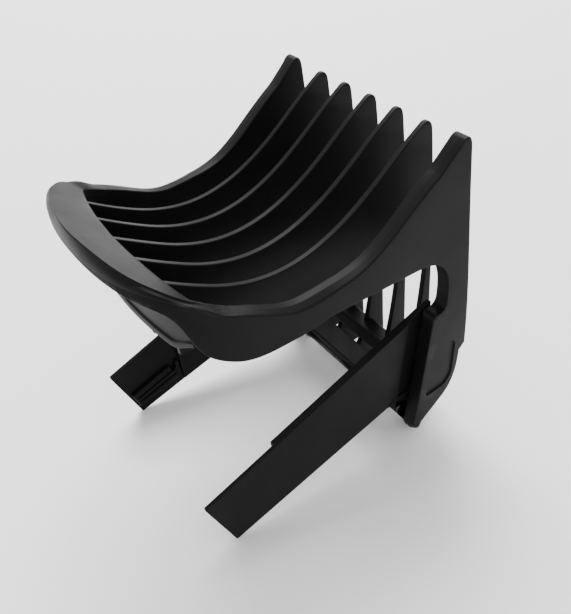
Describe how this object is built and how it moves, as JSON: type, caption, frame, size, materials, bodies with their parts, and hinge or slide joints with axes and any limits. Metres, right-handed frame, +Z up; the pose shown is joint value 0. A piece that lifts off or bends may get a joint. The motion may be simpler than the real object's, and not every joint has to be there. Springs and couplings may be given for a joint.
{
  "type": "hair clipper guard comb",
  "caption": "Black slide-on guard comb for a hair clipper: saddle-shaped comb head with a crescent lip, sprung on a cross rod between two guide arms.",
  "frame": {"origin": "centre of the overall box's bottom face, on the plane the arm corners and hinge feet stand on", "axes": "+X across the comb, -Y towards the lip and the free ends of the guide arms, +Y towards the tooth tips, +Z up"},
  "size_m": [0.0504, 0.066, 0.0711],
  "materials": {
    "black_plastic": "fine satin moulding",
    "dark_steel": "blackened rod",
    "spring_steel": "drawn wire"
  },
  "bodies": {
    "slide": {"guide_arm_left": "black_plastic", "guide_arm_right": "black_plastic", "guide_rail_left": "black_plastic", "guide_rail_right": "black_plastic", "hinge_foot_left": "black_plastic", "hinge_foot_right": "black_plastic", "slide_bridge": "black_plastic", "hinge_rod": "dark_steel", "return_spring_left": "spring_steel", "return_spring_right": "spring_steel"},
    "head": {"comb_frame": "black_plastic", "front_lip": "black_plastic", "inner_apron": "black_plastic", "tooth_1": "black_plastic", "tooth_2": "black_plastic", "tooth_3": "black_plastic", "tooth_4": "black_plastic", "tooth_5": "black_plastic", "rear_crossbar": "black_plastic", "hinge_ear_left": "black_plastic", "hinge_ear_right": "black_plastic"}
  },
  "joints": [
    {"name": "comb_tilt", "type": "hinge", "parent": "slide", "child": "head", "pos_m": [0, 0.0194, 0.008], "axis": [1, 0, 0], "range_deg": [0, 8], "stiffness_Nm_per_rad": 0.3, "springref_deg": -17.19, "deforming": ["return_spring_left", "return_spring_right"]}
  ]
}
